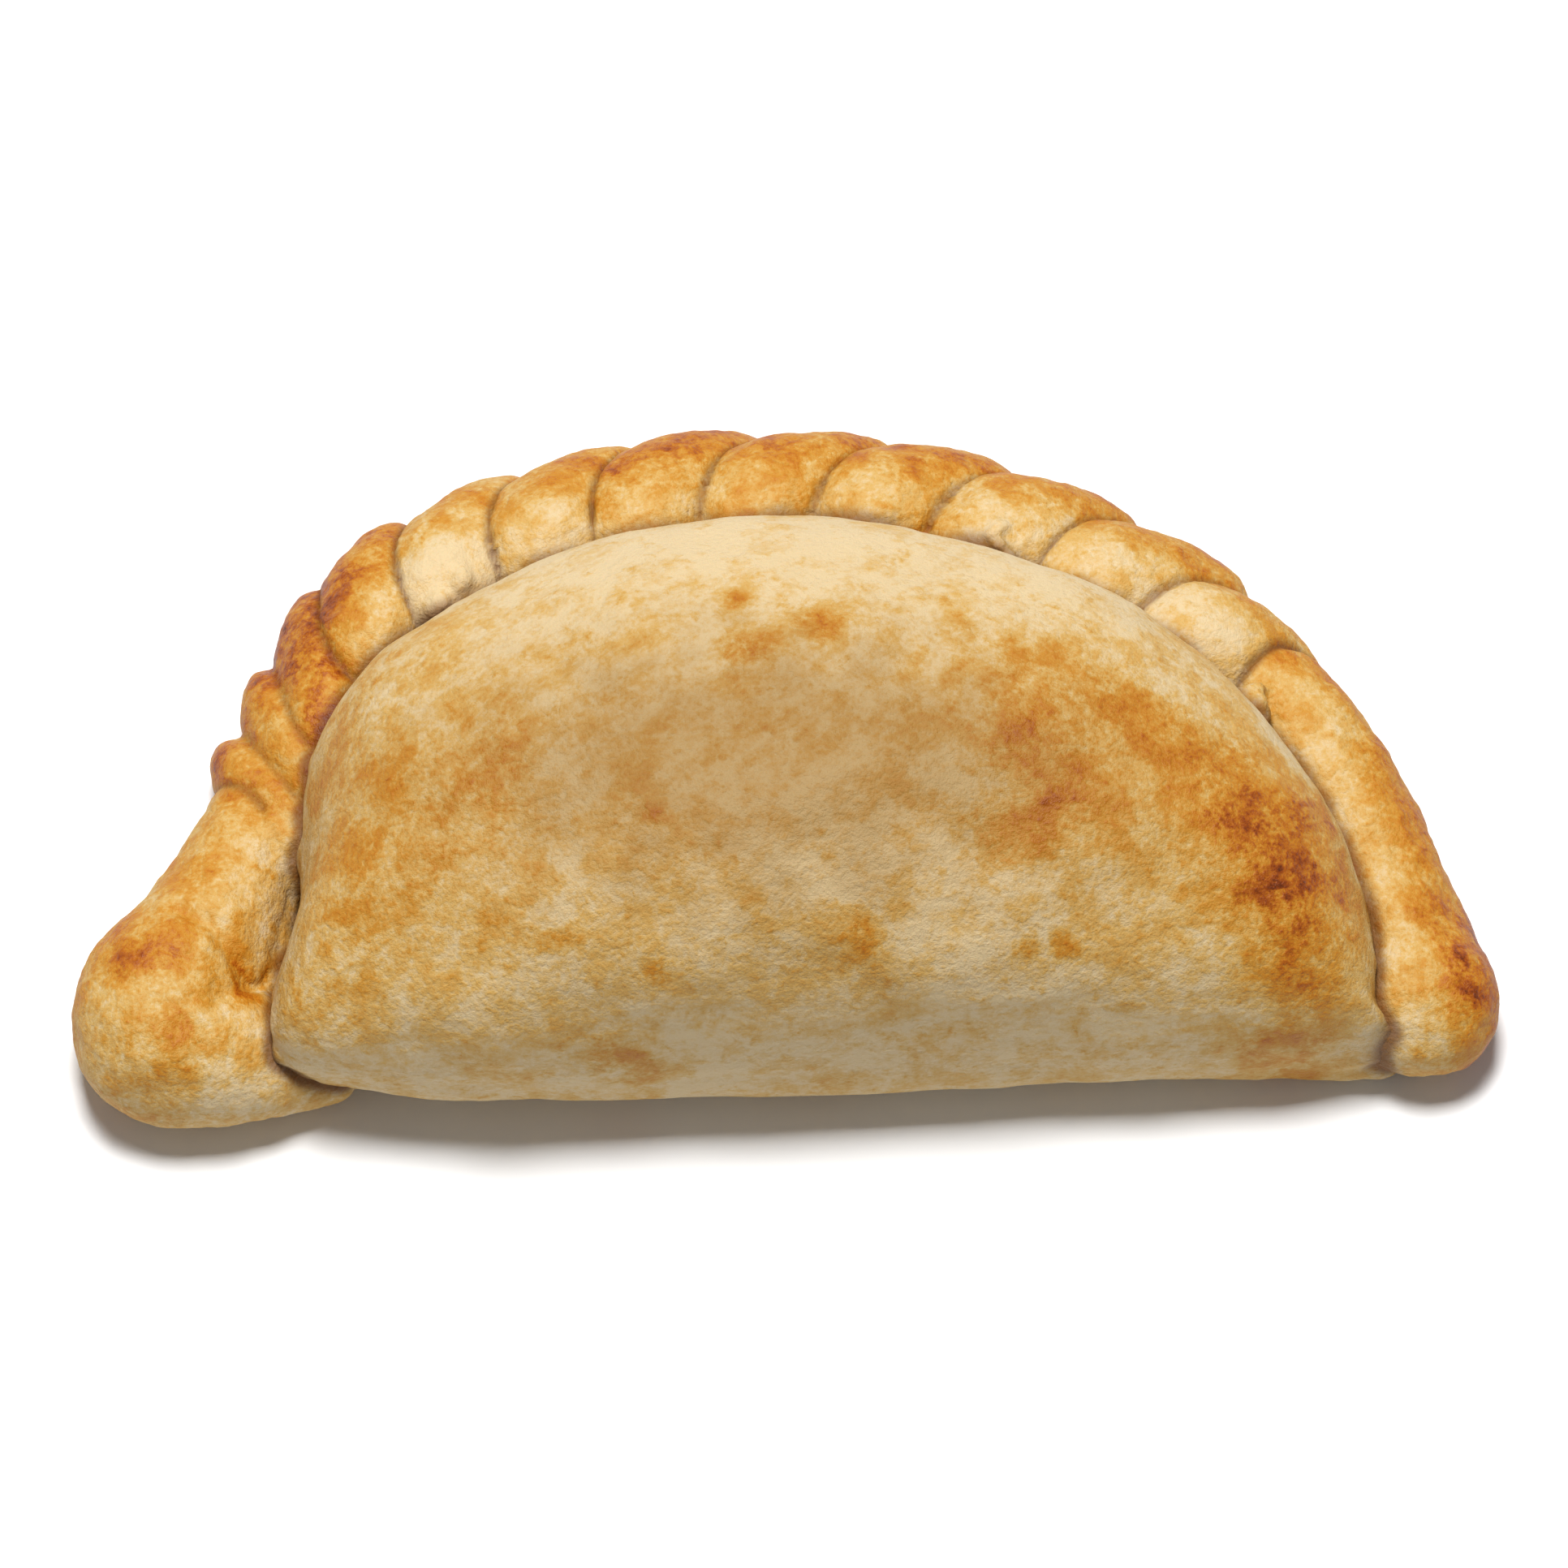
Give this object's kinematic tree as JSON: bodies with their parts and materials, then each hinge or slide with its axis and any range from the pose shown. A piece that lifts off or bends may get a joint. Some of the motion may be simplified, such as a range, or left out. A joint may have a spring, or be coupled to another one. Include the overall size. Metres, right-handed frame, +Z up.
{
  "type": "empanada",
  "caption": "Half-moon baked dough turnover with a domed filled belly, a folded straight edge and a rope-crimped curved rim, lying on its flat back.",
  "frame": {"origin": "centre of the bounding box's bottom face, on the flat back that the empanada rests on", "axes": "+X along the folded straight edge, +Y from the fold to the crown of the rope rim, +Z up from the flat back to the dome"},
  "size_m": [0.1294, 0.0696, 0.0336],
  "materials": {
    "baked_dough": null
  },
  "bodies": {
    "root": {"empanada": "baked_dough"}
  },
  "joints": []
}
